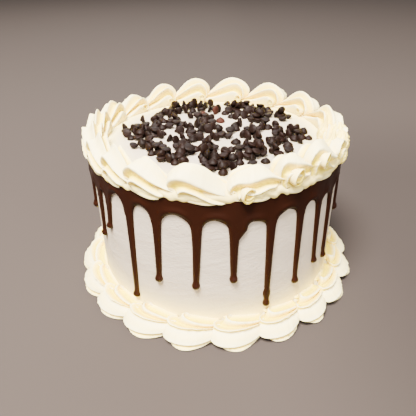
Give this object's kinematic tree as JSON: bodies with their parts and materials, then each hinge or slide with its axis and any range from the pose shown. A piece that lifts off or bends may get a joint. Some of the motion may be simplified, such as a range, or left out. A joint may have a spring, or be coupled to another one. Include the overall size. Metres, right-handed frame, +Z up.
{
  "type": "drip cake",
  "caption": "Tall round frosted layer cake with piped shell borders, a dark chocolate drip collar and chocolate chips on top.",
  "frame": {"origin": "centre of the flat underside, on the surface the cake stands on", "axes": "+Z up along the cake's axis, -Y towards the front that the picture shows, +X to its right"},
  "size_m": [0.2486, 0.2477, 0.1422],
  "materials": {
    "smooth_frosting": "soft off-white buttercream smoothed with a scraper, slightly grainy",
    "dark_chocolate": "satin dark chocolate ganache",
    "piped_frosting": "smooth whipped buttercream, warmer in the grooves"
  },
  "bodies": {
    "root": {"cake": "smooth_frosting", "chocolate_drip": "dark_chocolate", "top_border": "piped_frosting", "bottom_border": "piped_frosting"}
  },
  "joints": []
}
